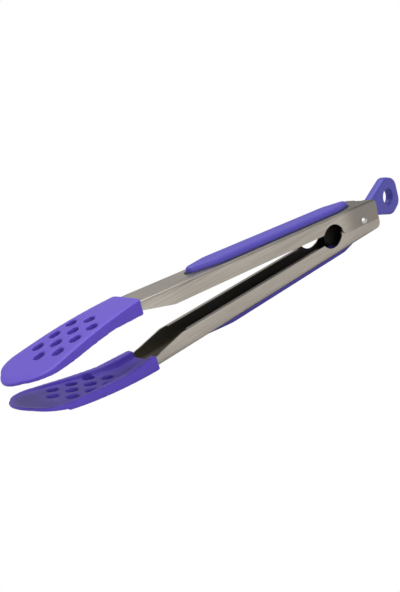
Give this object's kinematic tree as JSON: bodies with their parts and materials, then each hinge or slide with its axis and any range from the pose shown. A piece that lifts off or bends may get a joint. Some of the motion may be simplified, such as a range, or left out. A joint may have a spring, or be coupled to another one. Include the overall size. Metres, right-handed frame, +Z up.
{
  "type": "spring loaded kitchen tongs",
  "caption": "Locking kitchen tongs: folded steel arms on a cross rivet, slotted lock with pull ring, soft grips and drilled silicone scoop heads.",
  "frame": {"origin": "centre of the bounding box at its underside, where the lower arm's grip and head lie", "axes": "+X from the pull ring to the tips of the heads, +Y across the arms along the rivet, +Z up through the upper arm"},
  "size_m": [0.3124, 0.0394, 0.0411],
  "materials": {
    "steel": "brushed",
    "spring_steel": "drawn wire",
    "silicone": "satin",
    "ring": "satin",
    "nylon": "matte"
  },
  "bodies": {
    "lower_arm": {"lower_arm": "steel", "pivot_rivet": "steel", "lower_grip_carrier": "nylon", "lower_grip": "silicone", "lower_head_core": "nylon", "lower_core_rivets": "steel", "lower_head": "silicone", "torsion_spring": "spring_steel"},
    "sleeve": {"pivot_sleeve": "steel"},
    "lock": {"lock_plate": "nylon", "pull_ring": "ring"},
    "upper_arm": {"upper_arm": "steel", "upper_grip_carrier": "nylon", "upper_grip": "silicone", "upper_head_core": "nylon", "upper_core_rivets": "steel", "upper_head": "silicone"}
  },
  "joints": [
    {"name": "arm_open", "type": "hinge", "parent": "lower_arm", "child": "upper_arm", "pos_m": [-0.1015, 0, 0.0146], "axis": [0, -1, 0], "range_deg": [0, 16], "stiffness_Nm_per_rad": 0.6, "springref_deg": 28.65, "deforming": ["torsion_spring"]},
    {"name": "lock_swing", "type": "hinge", "parent": "lower_arm", "child": "sleeve", "pos_m": [-0.1015, 0, 0.0146], "axis": [0, -1, 0], "range_deg": [0, 12.9]},
    {"name": "lock_slide", "type": "slide", "parent": "sleeve", "child": "lock", "axis": [0.9983, 0, -0.0581], "range_m": [0, 0.00801]}
  ],
  "couplings": [
    {"joint": "lock_swing", "follows": "arm_open", "ratio": 0.8},
    {"joint": "lock_slide", "follows": "arm_open", "m_per_rad": 0.02861}
  ]
}
